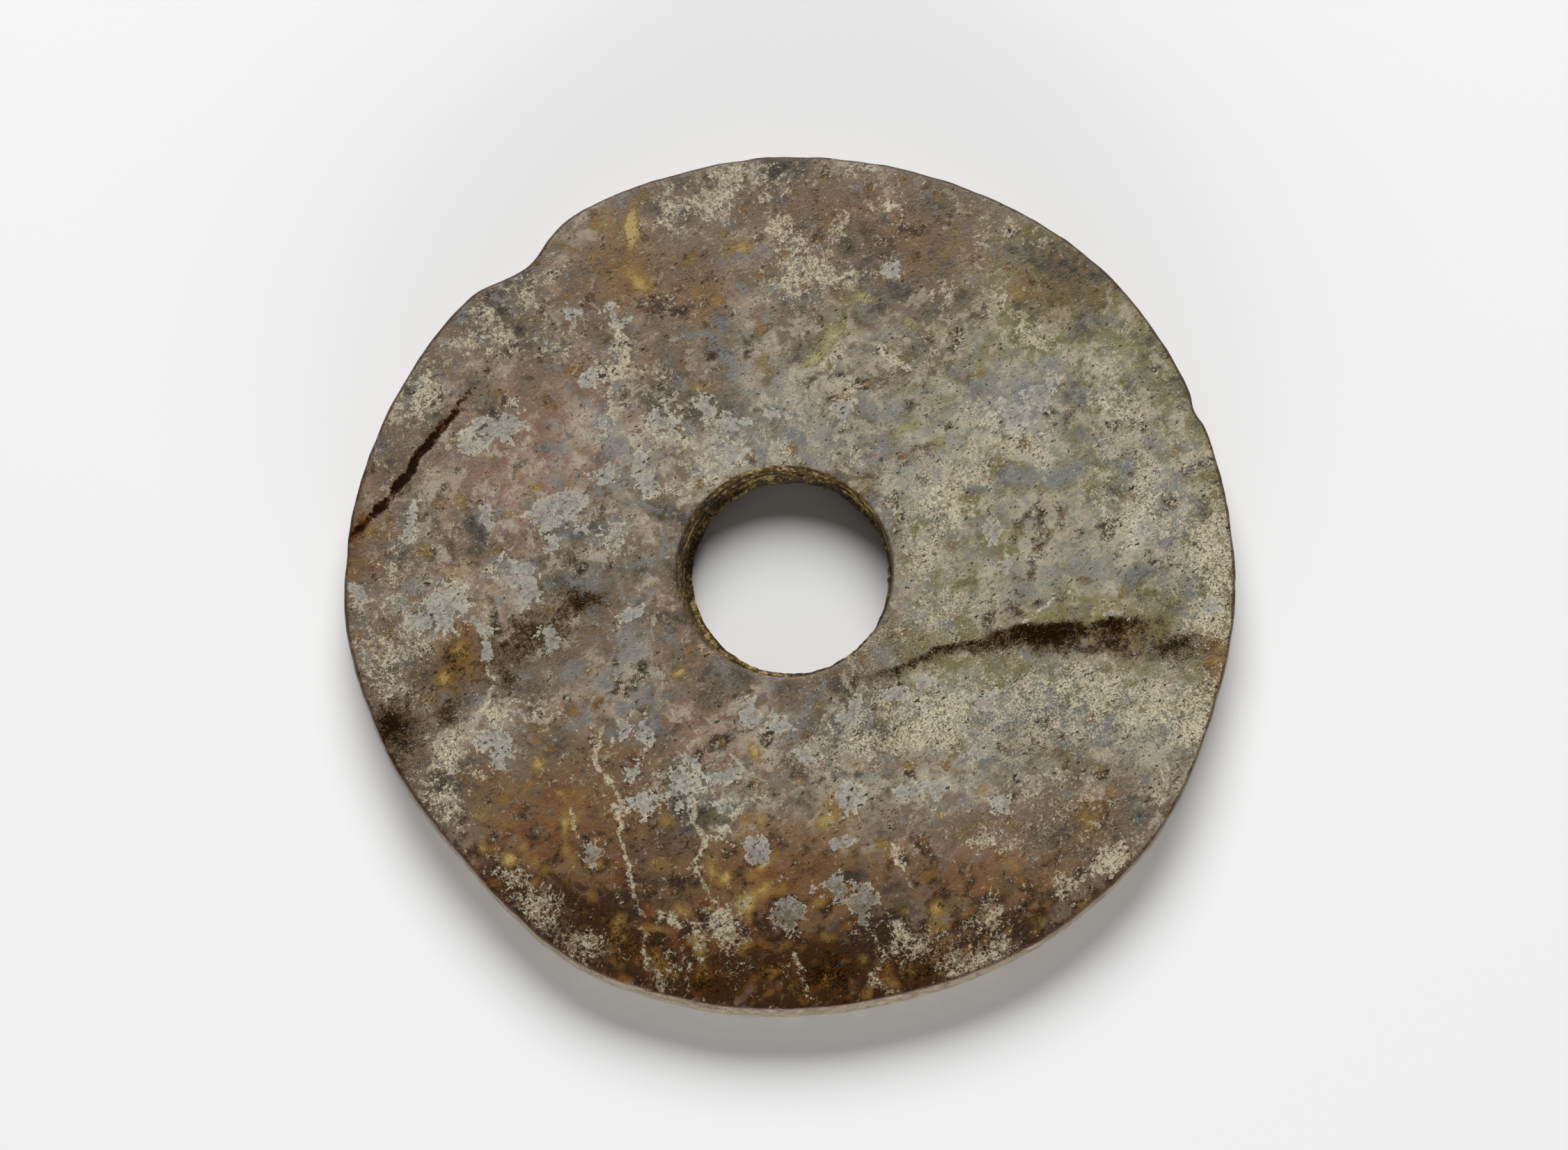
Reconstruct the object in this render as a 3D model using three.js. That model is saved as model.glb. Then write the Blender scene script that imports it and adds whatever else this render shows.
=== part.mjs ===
// A bi: a flat ring of nephrite jade, sawn from a boulder with a sand-charged string, drilled from both faces
// and polished. It is one solid. Its rim follows the edge of the boulder, so it is only nearly round.
// Millimetres, +Z up. The disc lies on its underside, and the origin is under the middle of its outline.
import * as THREE from "three";

// The slab
const rimRadius = 98.9; // of the circle that lies nearest to the outline, at the rim's fullest
const thickness = 12;
const rimEdge = 1.0; // radius of the polished edge between each face and the rim
const rimCrown = 0.25; // how far the rim swells past its edges at half its height

// Where the outline leaves its circle: the angle from +X in degrees, how far out it goes, and its half width
const departures = [
  { at: 47, out: 1.6, spread: 20 }, // far right shoulder
  { at: 106, out: -0.4, spread: 5 }, // shallow dip beside the notch
  { at: 130.3, out: -4.1, spread: 5.5 }, // notch, where the boulder's skin fell short
  { at: 178, out: 2.1, spread: 24 }, // left bulge
  { at: 187, out: 0.5, spread: 6 }, // corner on the bulge
  { at: 221, out: -1.4, spread: 12.5 }, // flat, near left
  { at: 241, out: 1.1, spread: 9 }, // corner after the flat
  { at: 282, out: -1.5, spread: 18 }, // flat, near side
  { at: 323, out: 0.65, spread: 9 }, // near right shoulder
  { at: 342, out: -0.5, spread: 8 }, // flat, right
  { at: 23.2, out: -0.9, spread: 1.6 }, // nick, right
];

// The hole: a tube drill worked down from the upper face, and another, a little off line, came up to meet it
const boreX = -2.3; // from the middle of the rim's circle
const boreY = 1.4;
const mouthRadius = 24.5;
const mouthEdge = 0.4; // worn edge at each mouth
const upperDepth = 6.5;
const upperTaper = 1.3; // the drill wore away, so its hole narrows on the way down
const upperLean = 0.85; // the foot of the upper drilling lies this far along +X
const ledgeWidth = 1.1; // stone left where the core snapped off between the two drillings
const ledgeDrop = 1.0;
const lowerShift = 1.33; // the lower drilling's axis lies this far along +X
const lowerTaper = 1.2;

// String-saw troughs in the upper face. Each follows an arc: a short scarp on its outer side, a long rise inside.
const sawTroughs = [
  { arcX: 74, arcY: -139.5, arcRadius: 130, depth: 1.1, scarp: 3.5, rise: 18, from: 9, fullAt: 45 },
  { arcX: 29, arcY: -193.5, arcRadius: 206, depth: 0.6, scarp: 9, rise: 13, from: -36, fullAt: -60 },
];
// The upper face rolls off towards the near rim
const rollWidth = 37;
const rollRadius = 500;

// How finely the surfaces are cut
const spokes = 180;
const faceRings = 13;
const ringCrowding = 1.3; // above 1, the rings on the face stand closer together near the hole
const edgeSteps = 2;

const degrees = (angle) => THREE.MathUtils.radToDeg(angle);
const ease = (share) => THREE.MathUtils.smoothstep(share, 0, 1);

// Distance of the rim from the middle of its circle, at an angle in radians
function rimAt(angle) {
  let distance = rimRadius;
  for (const { at, out, spread } of departures) {
    const away = THREE.MathUtils.euclideanModulo(degrees(angle) - at + 180, 360) - 180;
    distance += out * Math.exp(-((away / spread) ** 2));
  }
  return distance;
}

// How far the saw cut below the flat of the upper face
function troughDepth(x, y, { arcX, arcY, arcRadius, depth, scarp, rise, from, fullAt }) {
  const inside = arcRadius - Math.hypot(x - arcX, y - arcY);
  const along = ease((x - from) / (fullAt - from));
  const across = inside < scarp ? ease(inside / scarp) : 1 - ease((inside - scarp) / rise);
  return depth * along * across;
}

// Height of the upper face
function upperFace(x, y) {
  const sawn = sawTroughs.map((trough) => troughDepth(x, y, trough));
  const past = Math.max(0, rollWidth - rimRadius - y);
  return thickness - Math.max(...sawn) - past ** 2 / (2 * rollRadius);
}

// A point at a distance and an angle from (fromX, fromY), at a height
function polar(fromX, fromY, distance, angle, height) {
  return new THREE.Vector3(
    fromX + distance * Math.cos(angle),
    fromY + distance * Math.sin(angle),
    height,
  );
}

// The upper face along one spoke, from the mouth of the hole to the rim's edge
function facePoints(angle) {
  const inner = polar(boreX, boreY, mouthRadius + mouthEdge, angle, 0);
  const outer = polar(0, 0, rimAt(angle) - rimCrown - rimEdge, angle, 0);
  const points = [];
  for (let ring = 0; ring <= faceRings; ring++) {
    const point = inner.clone().lerp(outer, (ring / faceRings) ** ringCrowding);
    point.z = upperFace(point.x, point.y);
    points.push(point);
  }
  return points;
}

// The rim along one spoke: upper edge, crown, lower edge
function rimPoints(angle, topHeight) {
  const edgeCentre = rimAt(angle) - rimCrown - rimEdge;
  const points = [];
  for (let step = 1; step <= edgeSteps; step++) {
    const turn = (step / edgeSteps) * (Math.PI / 2);
    const height = topHeight - rimEdge * (1 - Math.cos(turn));
    points.push(polar(0, 0, edgeCentre + rimEdge * Math.sin(turn), angle, height));
  }
  points.push(polar(0, 0, rimAt(angle), angle, topHeight / 2));
  for (let step = 0; step <= edgeSteps; step++) {
    const turn = (step / edgeSteps) * (Math.PI / 2);
    const height = rimEdge * (1 - Math.sin(turn));
    points.push(polar(0, 0, edgeCentre + rimEdge * Math.cos(turn), angle, height));
  }
  return points;
}

// The hole along one spoke, from the underside up: lower drilling, ledge, upper drilling
function borePoints(angle, topHeight) {
  const footRadius = mouthRadius - upperTaper;
  const ridgeRadius = footRadius - ledgeWidth;
  const lowerMouth = ridgeRadius + lowerTaper;
  const ledgeHeight = thickness - upperDepth;
  const ridgeHeight = ledgeHeight - ledgeDrop;
  return [
    polar(boreX + lowerShift, boreY, lowerMouth + mouthEdge, angle, 0),
    polar(boreX + lowerShift, boreY, lowerMouth, angle, mouthEdge),
    polar(boreX + lowerShift, boreY, ridgeRadius, angle, ridgeHeight),
    polar(boreX + upperLean, boreY, footRadius, angle, ledgeHeight),
    polar(boreX, boreY, mouthRadius, angle, topHeight - mouthEdge),
  ];
}

// The whole surface: one closed loop of points on each spoke, joined to the loop on the next
function discGeometry() {
  const loops = [];
  for (let spoke = 0; spoke < spokes; spoke++) {
    const angle = (spoke / spokes) * 2 * Math.PI;
    const face = facePoints(angle);
    const rim = rimPoints(angle, face[faceRings].z);
    loops.push([...face, ...rim, ...borePoints(angle, face[0].z)]);
  }
  const loopLength = loops[0].length;
  const index = [];
  for (let spoke = 0; spoke < spokes; spoke++) {
    const here = spoke * loopLength;
    const next = ((spoke + 1) % spokes) * loopLength;
    for (let i = 0; i < loopLength; i++) {
      const j = (i + 1) % loopLength;
      index.push(here + i, here + j, next + j);
      index.push(here + i, next + j, next + i);
    }
  }
  const geometry = new THREE.BufferGeometry().setFromPoints(loops.flat());
  geometry.setIndex(index);
  geometry.computeBoundingBox();
  const middle = geometry.boundingBox.getCenter(new THREE.Vector3());
  geometry.translate(-middle.x, -middle.y, 0);
  geometry.computeVertexNormals();
  return geometry;
}

// Satin-polished nephrite, brown and olive with a buff weathered crust
const nephrite = new THREE.MeshStandardMaterial({ color: 0x746a58, roughness: 0.45, metalness: 0 });

const disc = new THREE.Mesh(discGeometry(), nephrite);
disc.name = "bi_disc";

const bi = new THREE.Group();
bi.add(disc);

export default bi;
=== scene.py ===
import math

import bpy
import numpy as np
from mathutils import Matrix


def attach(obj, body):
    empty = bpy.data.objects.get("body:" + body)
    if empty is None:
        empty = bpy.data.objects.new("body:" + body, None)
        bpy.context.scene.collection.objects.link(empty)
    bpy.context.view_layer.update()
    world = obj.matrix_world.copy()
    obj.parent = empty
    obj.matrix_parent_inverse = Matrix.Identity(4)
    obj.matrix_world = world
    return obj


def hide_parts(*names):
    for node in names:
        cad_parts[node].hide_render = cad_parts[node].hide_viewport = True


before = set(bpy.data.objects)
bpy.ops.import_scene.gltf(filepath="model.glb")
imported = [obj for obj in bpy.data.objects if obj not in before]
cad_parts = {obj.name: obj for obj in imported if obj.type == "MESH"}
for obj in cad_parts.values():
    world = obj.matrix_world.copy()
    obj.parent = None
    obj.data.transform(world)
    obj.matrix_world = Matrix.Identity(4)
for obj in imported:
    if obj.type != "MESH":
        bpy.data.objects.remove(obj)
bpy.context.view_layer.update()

# The disc is one slab of nephrite, string-sawn from a boulder, drilled from both faces and ground with sand.
# Its mesh follows the same outline, troughs and drillings as the solid, and adds what is too fine for it:
# the dark groove on the left, the ragged crest of the saw cut, drill rings and the wear of the edges.
# All lengths are in mm.
rim_radius = 98.9  # of the circle that lies nearest to the outline, at the rim's fullest
thickness = 12.0
rim_edge = 1.0  # radius of the polished edge between each face and the rim
rim_crown = 0.25  # how far the rim swells past its edges at half its height
departures = [  # angle in degrees, how far the rim leaves its circle, half width in degrees
    (47, 1.6, 20), (106, -0.4, 5), (130.3, -4.1, 5.5), (178, 2.1, 24), (187, 0.5, 6), (221, -1.4, 12.5),
    (241, 1.1, 9), (282, -1.5, 18), (323, 0.65, 9), (342, -0.5, 8), (23.2, -0.9, 1.6),
]
bore_x = -2.3  # of the hole, from the middle of the rim's circle
bore_y = 1.4
mouth_radius = 24.5
mouth_edge = 0.4  # worn edge at each mouth
upper_depth = 6.5
upper_taper = 1.3  # the drill wore away, so its hole narrows on the way down
upper_lean = 0.85  # the foot of the upper drilling lies this far along +X
ledge_width = 1.1  # stone left where the core snapped off between the two drillings
ledge_drop = 1.0
lower_shift = 1.33  # the lower drilling's axis lies this far along +X
lower_taper = 1.2
saw_troughs = [  # arc's x, y and radius, depth, width of scarp and rise, where along X it starts and is full
    (74, -139.5, 130, 1.1, 3.5, 18, 9, 45), (29, -193.5, 206, 0.6, 9, 13, -36, -60),
]
roll_width = 37.0  # the upper face rolls off this far from the near rim
roll_radius = 500.0
# What only this mesh has
crest_stray = 0.5  # how far the crest of a saw cut wanders
groove_depth = 0.35
groove_half_width = 1.3
swell_height = 0.05  # the polish left low swells, with ripples on them
ripple_height = 0.02
swell_room = 0.08  # the face lies this much lower, so that the swells stay within the solid
chip_depth = 0.12  # of the fine chips along the rim's edges
wander_depth = 0.08  # of the longer waves in the rim
facet_depth = 0.12  # of the flats that grinding left on the rim's wall
hollow_height = 0.05  # the underside touches the floor along its edges only
break_depth = 0.22  # where the core snapped off
splinter_depth = 0.1
drill_ring_depth = 0.06  # of the faint rings that the drill's sand left
# How finely the surfaces are cut
spokes = 640
face_rings = 100
edge_steps = 4
wall_steps = 6
under_rings = 20
bore_rings = 7


def ease(share):
    share = np.clip(share, 0, 1)
    return share * share * (3 - 2 * share)


def lattice(x, y, cell, seed):
    """Smooth noise from -1 to 1, with one random height at each corner of a grid of that cell size."""
    corners = 64  # on each side, before the heights repeat
    heights = np.random.default_rng(seed).uniform(-1, 1, (corners, corners))
    column, row = np.floor(x / cell).astype(int), np.floor(y / cell).astype(int)
    across, along = ease(x / cell - column), ease(y / cell - row)
    left, right = column % corners, (column + 1) % corners
    low, high = row % corners, (row + 1) % corners
    below = heights[low, left] * (1 - across) + heights[low, right] * across
    above = heights[high, left] * (1 - across) + heights[high, right] * across
    return below * (1 - along) + above * along


def rough(x, y, cell, seed, octaves=3):
    """Layers of that noise, each half as large and just over half as strong as the one before."""
    total = 0
    for octave in range(octaves):
        turned_x = x * math.cos(octave) - y * math.sin(octave)
        turned_y = x * math.sin(octave) + y * math.cos(octave)
        total = total + 0.55**octave * lattice(turned_x, turned_y, cell / 2**octave, seed + octave)
    return total


def rim_at(angle):
    distance = np.full(np.shape(angle), rim_radius)
    for at, out, spread in departures:
        away = (np.degrees(angle) - at + 180) % 360 - 180
        distance += out * np.exp(-((away / spread) ** 2))
    return distance


def trough_depth(x, y, arc_x, arc_y, arc_radius, depth, scarp, rise, start, full):
    inside = arc_radius - np.hypot(x - arc_x, y - arc_y)
    along = ease((x - start) / (full - start))
    across = np.where(inside < scarp, ease(inside / scarp), 1 - ease((inside - scarp) / rise))
    return depth * along * across


def path_distance(x, y, points):
    """Distance to a line through the points, and how far along it the nearest place is, from 0 to 1."""
    best, where = np.full(x.shape, 1e9), np.zeros(x.shape)
    for i in range(len(points) - 1):
        (ax, ay), (bx, by) = points[i], points[i + 1]
        length = math.hypot(bx - ax, by - ay)
        share = np.clip(((x - ax) * (bx - ax) + (y - ay) * (by - ay)) / length**2, 0, 1)
        away = np.hypot(x - ax - share * (bx - ax), y - ay - share * (by - ay))
        where = np.where(away < best, (i + share) / (len(points) - 1), where)
        best = np.minimum(best, away)
    return best, where


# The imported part's origin is under the middle of the outline's box, not of the rim's circle.
angles = np.linspace(0, 2 * np.pi, spokes, endpoint=False)[:, None]
outline_x, outline_y = rim_at(angles) * np.cos(angles), rim_at(angles) * np.sin(angles)
shift_x = -(outline_x.min() + outline_x.max()) / 2
shift_y = -(outline_y.min() + outline_y.max()) / 2

groove = [  # from its faint end to the rim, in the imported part's frame, as all the marks below
    (-66, 53), (-71, 44.5), (-76, 37), (-80, 32.5), (-84, 27), (-87, 22), (-91.5, 16), (-96, 11), (-99, 8),
]


def upper_face(x, y):
    ragged = crest_stray * rough(x, y, cell=5, seed=11)
    sawn = [trough_depth(x + ragged, y + ragged, *trough) for trough in saw_troughs]
    past = np.maximum(0, roll_width - rim_radius - y)
    away, along = path_distance(x + shift_x, y + shift_y, groove)
    cut = groove_depth * np.exp(-((away / groove_half_width) ** 2)) * ease(along * 6)
    swells = swell_height * rough(x, y, cell=14, seed=21) + ripple_height * rough(x, y, cell=4, seed=31)
    worn = ease((rim_radius - 3 - np.hypot(x, y)) / 10)
    flat = thickness - swell_room
    return flat - np.maximum.reduce(sawn) - past**2 / (2 * roll_radius) - cut + swells * worn


# Rings of points, one after another: out over the face, down the rim, in below and back up the hole
loops = []


def add_ring(x, y, z):
    loops.append((x + 0 * angles, y + 0 * angles, z + 0 * angles))


inner_x = bore_x + (mouth_radius + mouth_edge) * np.cos(angles)
inner_y = bore_y + (mouth_radius + mouth_edge) * np.sin(angles)
along_edge = angles * 60  # less than the rim's radius, which draws the chips out along the edge
chips = chip_depth * rough(along_edge, 0 * angles, cell=3, seed=41)
chips += wander_depth * rough(along_edge, 0 * angles, cell=9, seed=45)
edge_centre = rim_at(angles) - rim_crown - rim_edge + chips
outer_x, outer_y = edge_centre * np.cos(angles), edge_centre * np.sin(angles)
for ring in range(face_rings + 1):
    share = ring / face_rings
    x = inner_x + (outer_x - inner_x) * share
    y = inner_y + (outer_y - inner_y) * share
    add_ring(x, y, upper_face(x, y))
top = loops[-1][2]
for step in range(1, edge_steps + 1):
    turn = step / edge_steps * math.pi / 2
    r = edge_centre + rim_edge * math.sin(turn)
    add_ring(r * np.cos(angles), r * np.sin(angles), top - rim_edge * (1 - math.cos(turn)))
along_wall = angles * 99  # mm along the rim's wall
for step in range(1, wall_steps):
    share = step / wall_steps
    z = (top - rim_edge) * (1 - share) + rim_edge * share
    swell = math.sin(math.pi * share)
    facets = facet_depth * rough(along_wall, z + 0 * angles, cell=5, seed=51) * swell
    r = edge_centre + rim_edge + rim_crown * swell + facets
    add_ring(r * np.cos(angles), r * np.sin(angles), z)
for step in range(edge_steps + 1):
    turn = step / edge_steps * math.pi / 2
    r = edge_centre + rim_edge * math.cos(turn)
    add_ring(r * np.cos(angles), r * np.sin(angles), rim_edge * (1 - math.sin(turn)))
foot_radius = mouth_radius - upper_taper
ridge_radius = foot_radius - ledge_width
lower_mouth = ridge_radius + lower_taper
rim_foot_x, rim_foot_y = loops[-1][0], loops[-1][1]
hole_foot_x = bore_x + lower_shift + (lower_mouth + mouth_edge) * np.cos(angles)
hole_foot_y = bore_y + (lower_mouth + mouth_edge) * np.sin(angles)
for ring in range(1, under_rings + 1):
    share = ring / under_rings
    x = rim_foot_x + (hole_foot_x - rim_foot_x) * share
    y = rim_foot_y + (hole_foot_y - rim_foot_y) * share
    hollow = hollow_height * (1 + rough(x, y, cell=9, seed=61) / 2) * math.sin(math.pi * share) ** 0.5
    add_ring(x, y, hollow)
ledge_height = thickness - upper_depth
ridge_height = ledge_height - ledge_drop
along_ledge = angles * 22  # mm along the broken ledge
broken = break_depth * rough(along_ledge, 0 * angles, cell=4, seed=71)
broken += splinter_depth * rough(along_ledge, 0 * angles, cell=1.5, seed=75)
mouth_height = loops[0][2] - mouth_edge
bore_profile = [  # shift along X, radius, height
    (lower_shift, lower_mouth + mouth_edge * 0.3, mouth_edge * 0.3),
    (lower_shift, lower_mouth, mouth_edge),
    (lower_shift, ridge_radius + 0.6 * lower_taper, 0.4 * ridge_height),
    (lower_shift, ridge_radius + 0.25 * lower_taper + broken / 2, 0.75 * ridge_height),
    (lower_shift, ridge_radius + broken, ridge_height),
    (lower_shift, ridge_radius + 0.05 + broken, ridge_height + 0.35),
    (lower_shift * 0.6 + upper_lean * 0.4, foot_radius - 0.45 * ledge_width + broken / 2, ledge_height - 0.2),
    (upper_lean, foot_radius, ledge_height),
]
for step in range(1, bore_rings + 1):
    share = step / bore_rings
    wave = drill_ring_depth * math.sin(step * 2.4) * (1 - share)
    bore_profile.append((
        upper_lean * (1 - share),
        foot_radius + upper_taper * share + wave,
        ledge_height + (mouth_height - ledge_height) * share,
    ))
bore_profile.append((0, mouth_radius + 0.3 * mouth_edge, mouth_height + 0.7 * mouth_edge))
for along, r, z in bore_profile:
    add_ring(bore_x + along + r * np.cos(angles), bore_y + r * np.sin(angles), z)

grid = np.array(loops)[..., 0].transpose(2, 0, 1)  # spoke, ring, coordinate
grid = grid + np.array([shift_x, shift_y, 0])
ring_count = grid.shape[1]
points = grid.reshape(-1, 3)
spoke, ring = np.meshgrid(np.arange(spokes), np.arange(ring_count), indexing="ij")
next_spoke, next_ring = (spoke + 1) % spokes, (ring + 1) % ring_count
quads = np.stack([
    spoke * ring_count + ring, spoke * ring_count + next_ring,
    next_spoke * ring_count + next_ring, next_spoke * ring_count + ring,
], axis=-1).reshape(-1, 4)

millimetre = 0.001
mesh = bpy.data.meshes.new("bi_disc_stone")
mesh.from_pydata((points * millimetre).tolist(), [], quads.tolist())
mesh.polygons.foreach_set("use_smooth", [True] * len(quads))
stone = bpy.data.objects.new("bi_disc_stone", mesh)
bpy.context.scene.collection.objects.link(stone)

# Long burial changed the stone from place to place: crust, scars, stain and veins lie over a ground that is
# warm, slate blue, reddish or pale by turns. Painted shade joins the stain at the foot of the scarps and
# along the near rim. Each mark is a place, half length, half width, turn in degrees and, where it varies,
# strength.
# The hidden underside takes the same marks turned round, and no saw cut.

# Buff crust. Less than nothing keeps the crust away.
crusts = [
    (-12, 93, 11, 5, 0, 0.5), (-28, 84, 7, 5, 20, 0.45), (-19, 87, 6, 4, 0, 0.4), (0, 76, 6, 5, 0, 0.45),
    (3, 68, 8, 4, 10, 0.5), (15, 69, 5, 3, 0, 0.45), (-3, 84, 3, 4, 0, 0.3), (17, 95, 6, 2.5, -10, 0.35),
    (46, 80, 4, 4, 0, 0.35), (57, 78, 4, 3, 0, 0.4), (36, 65, 4, 4, 0, 0.4), (47, 64, 5, 3, 0, 0.45),
    (54, 55, 7, 4, -40, 0.5), (70, 50, 5, 4, -30, 0.4), (73, 39, 6, 5, -20, 0.5), (44, 36, 6, 5, 0, 0.55),
    (48, 29, 6, 4, 0, 0.5), (57, 28, 2, 7, 0, 0.5), (69, 27, 3, 4, 0, 0.3), (70, 18, 4, 4, 0, 0.5),
    (80, 21, 3, 7, 0, 0.6), (79, 10, 4, 4, 0, 0.6), (87, 9, 5, 5, 0, 0.4), (95, 0, 5, 14, 0, 0.6),
    (92, -12, 6, 4, 0, 0.6), (88, 30, 4, 4, 0, 0.3), (40, 22, 6, 6, 0, 0.5), (34, 14, 6, 6, 0, 0.5),
    (30, 4, 5, 5, 0, 0.45), (34, -7, 6, 5, -20, 0.4), (50, 3, 6, 1.5, 0, 0.45), (13, 27, 3, 5, 0, 0.4),
    (-19, 25, 7, 5, 40, 0.45), (-29, 34, 6, 6, 0, 0.6), (-27, 18, 5, 4, 0, 0.3), (-4, 29, 6, 3, 0, 0.4),
    (50, -16, 9, 2.5, 10, 0.7), (70, -17, 10, 3, 0, 0.25), (86, -18, 7, 4, 0, 0.2),
    (30, -31, 13, 6, 5, 0.5), (60, -26, 14, 6, 0, 0.4), (80, -30, 12, 8, 0, 0.45),
    (91, -33, 4, 8, -25, 0.6), (26, -38, 14, 2, 3, 0.7), (-76, -42, 9, 8, -50, 0.5),
    (-62, -31, 9, 4, 0, 0.4), (-92, -22, 4, 9, 15, 0.4), (-84, -17, 7, 5, 0, 0.25), (-89, 2, 2, 8, 0, 0.5),
    (-92, 34, 4, 7, -25, 0.35), (-84, 43, 6, 7, -35, 0.4), (-68, 58, 8, 6, 40, 0.45),
    (-60, 68, 5, 4, 0, 0.3), (-53, 49, 4, 5, 0, 0.3), (-38, 48, 4, 5, 0, 0.25), (-72, -9, 5, 6, 0, 0.3),
    (-50, -74, 6, 4, 0, 0.3), (-44, -84, 8, 4, -25, 0.8), (-25, -90, 6, 5, 0, 0.6),
    (-14, -81, 4, 6, 0, 0.75), (-6, -90, 9, 4, 0, 0.35), (30, -84, 8, 4, 0, 0.6), (45, -78, 4, 6, 0, 0.8),
    (40, -88, 9, 3, 12, 0.9), (60, -72, 5, 4, 0, 0.7), (70, -65, 6, 3, 35, 0.8), (33, -49, 7, 4, 0, 0.3),
    (45, -60, 8, 4, 0, 0.35), (-22, -47, 5, 6, 0, 0.4), (14, -51, 5, 5, 0, 0.35), (58, -47, 6, 5, 0, 0.3),
    (-33, -53, 4, 4, 0, 0.35), (84, -48, 4, 8, -30, 0.4), (-72, 32, 3, 4, 0, 0.4), (8, 49, 4, 2, 25, 0.6),
    (27, 48, 4, 1.5, -30, 0.6), (13, 42, 2, 4, 0, 0.4), (17, 87, 2, 1, -10, 0.7), (23, 86, 3, 1.5, 10, 0.8),
    (-38, 70, 9, 10, 0, -0.25), (-48, 78, 5, 5, 0, -0.1), (-20, 70, 6, 8, 0, -0.25), (8, 87, 8, 4, 0, -0.2),
    (62, 68, 9, 8, 0, -0.4), (34, 75, 6, 5, 0, -0.35), (-8, -24, 11, 8, 0, -0.25),
    (-45, 22, 12, 9, 0, -0.25), (-58, 42, 9, 6, 0, -0.3), (-52, -56, 14, 8, 0, -0.4),
    (-4, -67, 11, 7, 30, -0.35), (14, -64, 8, 9, 0, -0.25), (33, -71, 8, 6, 0, -0.3),
    (52, -41, 16, 2.5, 0, -0.3), (-17, 53, 7, 5, 0, -0.2), (33, 36, 9, 5, 0, -0.3),
    (50, 10, 6, 3, 0, -0.35), (-14, -38, 10, 5, 0, -0.2), (-66, 20, 9, 8, 0, -0.2),
    (-30, 56, 8, 6, 0, -0.25), (-72, -21, 5, 6, 0, -0.4), (-50, -12, 9, 5, 0, -0.4),
    (58, -7, 12, 3, 20, -0.3), (-60, -69, 6, 3.5, -42, 0.7), (-55, -77, 7, 3.5, -40, 0.7),
    (-76, -54, 5, 5, -45, 0.6), (-27, 49, 2.5, 5, 0, 0.35),
]
# Slate-grey scars with a clear border, all of one strength
scars = [
    (-66, 34, 5.4, 4, 30), (-72, 30, 2.4, 2.6, 0), (-35, 26, 1.5, 3.5, -15), (-32, 20, 2, 3, 35),
    (-42, 35, 1.6, 2.6, 0), (-43, 24, 2.6, 2.6, 0), (-55, 13, 4.4, 3, 10), (-50, 16, 2.6, 2.4, 0),
    (-47, 9.5, 3, 2, 0), (-54, 7, 2.2, 1.6, 0), (-40, 9, 1.8, 3, 0), (-61, 0, 4, 3, -30),
    (-58, -4, 1.8, 3, 0), (-77, -8, 4.4, 3.6, 50), (-82, -11, 3, 2, 20), (-71, -11.5, 3.6, 1.5, 0),
    (-97, -4, 2.4, 3, 20), (-36, -9, 3, 1.8, 40), (-68, 14, 1.8, 2.8, 0), (-85, 12, 1.2, 4.6, -25),
    (-54, -15, 1.6, 2.6, 30), (-67, -17, 1.2, 2, 0), (-67, -38, 3.8, 2.3, 5), (-64, -42, 2, 3, 0),
    (-38, -35, 1.4, 2.2, 0), (-33, -36, 2, 2.5, 0), (-34.5, -44, 1.6, 2, 0), (-33, -53, 3, 2.3, 0),
    (-43, -63, 2, 2.4, -30), (-23.5, -48, 3.2, 4, 0), (-22, -42, 1.4, 2.4, 40), (-14, -45, 3.4, 2, 20),
    (-13, -53, 3, 2, 0), (-8, -62, 3, 2, 0), (0, -77, 3.8, 3.4, 0), (10, -72, 3.8, 2.6, -20),
    (16, -75, 2.4, 4, 30), (12, -62, 2.4, 1.6, 10), (13, -52, 3, 3.4, 0), (13, -32, 5.4, 1.9, 48),
    (24, -27.5, 2.2, 1.8, 50), (31, -26, 2.4, 1.6, 30), (43, -29, 3, 1.7, 10), (33, -49, 2.6, 2.3, 0),
    (27, -49, 3.4, 1.6, 0), (40, -41, 2.2, 1.5, 0), (47, -53, 2.8, 2, -20), (2, -41, 2.6, 1.3, 0),
    (-9, -32, 2.4, 3, 30), (-3, -34, 2.4, 1.7, -20), (-28, 35, 3, 3.4, 0), (-19, 38, 2, 2.4, 0),
    (-13, 35, 3, 2.2, 15), (-13, 28, 2.6, 2.8, 0), (-4, 36, 1.4, 2.2, 30), (0, 36, 1.3, 1.4, 0),
    (12, 37, 2.4, 2.6, 0), (47, 10.5, 2, 2.5, -20), (48.5, 2, 1, 1.8, 0), (81, 10, 2.6, 2.6, 0),
    (93, -7, 2.8, 2, 0), (71.5, -9.8, 2.6, 0.7, 0), (50, 37, 3.6, 3, 0), (57, 42, 4, 2.4, 40),
    (24, 71, 1.4, 2.2, -30), (-45, 46, 1.8, 2.4, 0), (-40, 60, 2, 3, 30), (-49, 60, 1.6, 1.2, 0),
]
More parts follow.
